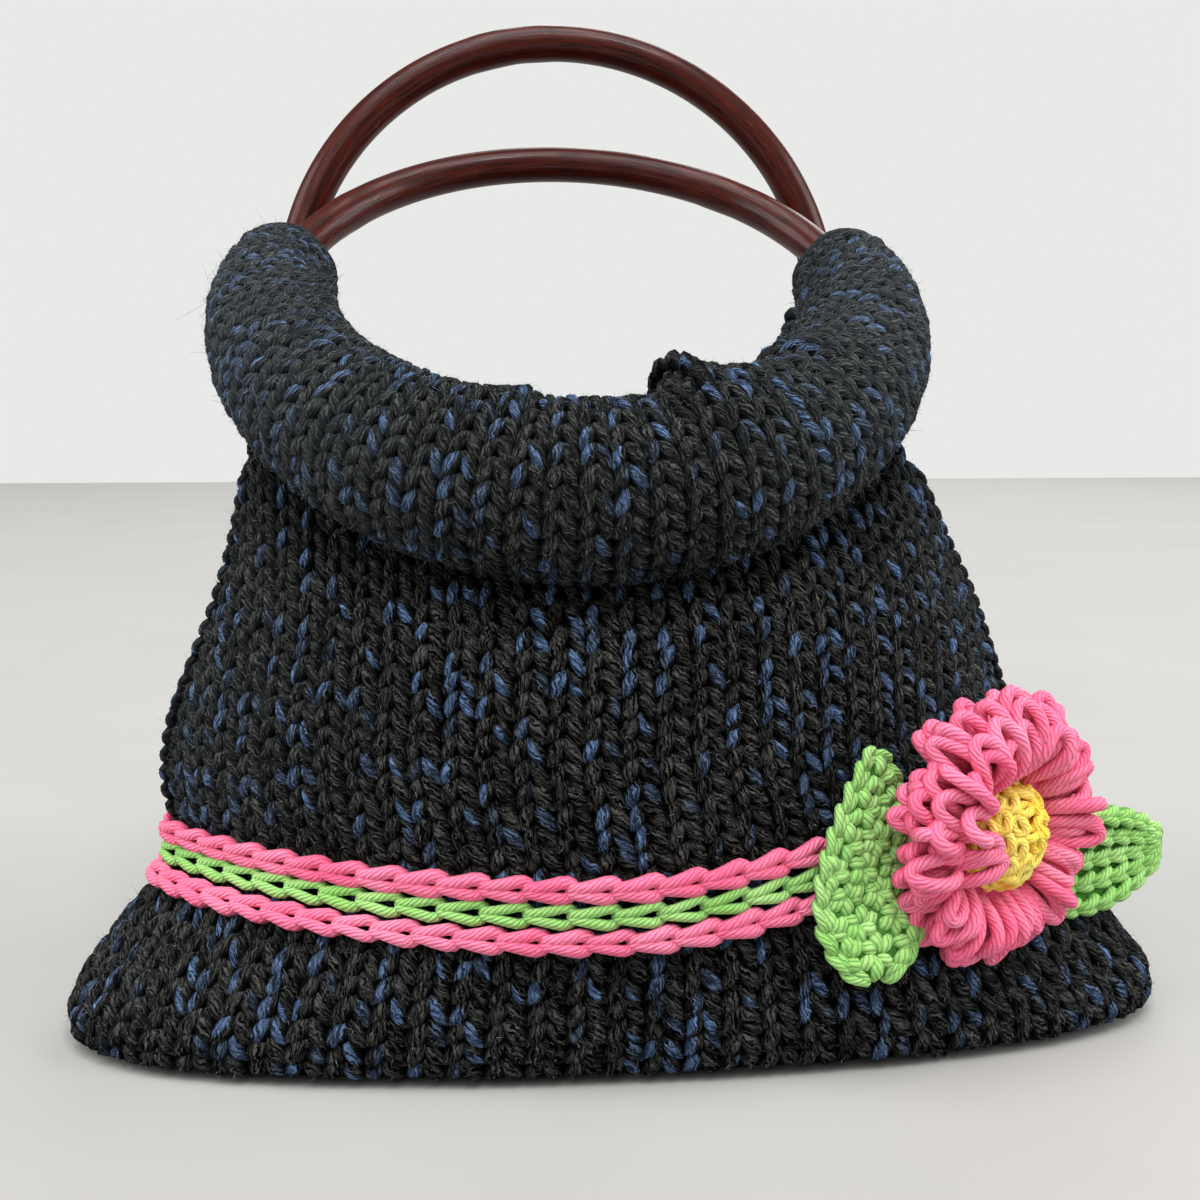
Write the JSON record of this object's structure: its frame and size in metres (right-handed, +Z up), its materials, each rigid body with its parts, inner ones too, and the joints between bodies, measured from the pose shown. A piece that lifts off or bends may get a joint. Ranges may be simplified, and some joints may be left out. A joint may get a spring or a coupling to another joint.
{
  "type": "knitted handbag",
  "caption": "Chunky knitted handbag with round cane handles in rolled knitted casings, crochet chain trim and a yarn flower with leaves; open pouch standing on its flat base.",
  "frame": {"origin": "middle of the bottom of the bag's bounding box, on the surface that it stands on", "axes": "+Z up, the front faces -Y, +X is to the right seen from the front"},
  "size_m": [0.2984, 0.1686, 0.2833],
  "materials": {
    "charcoal_knit": "matte",
    "stained_cane": "satin",
    "pink_yarn": "matte",
    "green_yarn": "matte",
    "yellow_yarn": "matte"
  },
  "bodies": {
    "root": {"bag_body": "charcoal_knit", "casing_front": "charcoal_knit", "casing_back": "charcoal_knit", "handle_ring_front": "stained_cane", "handle_ring_back": "stained_cane", "stripe_pink_upper": "pink_yarn", "stripe_green": "green_yarn", "stripe_pink_lower": "pink_yarn", "flower_petals": "pink_yarn", "flower_centre": "yellow_yarn", "leaf_left": "green_yarn", "leaf_right": "green_yarn"}
  },
  "joints": []
}
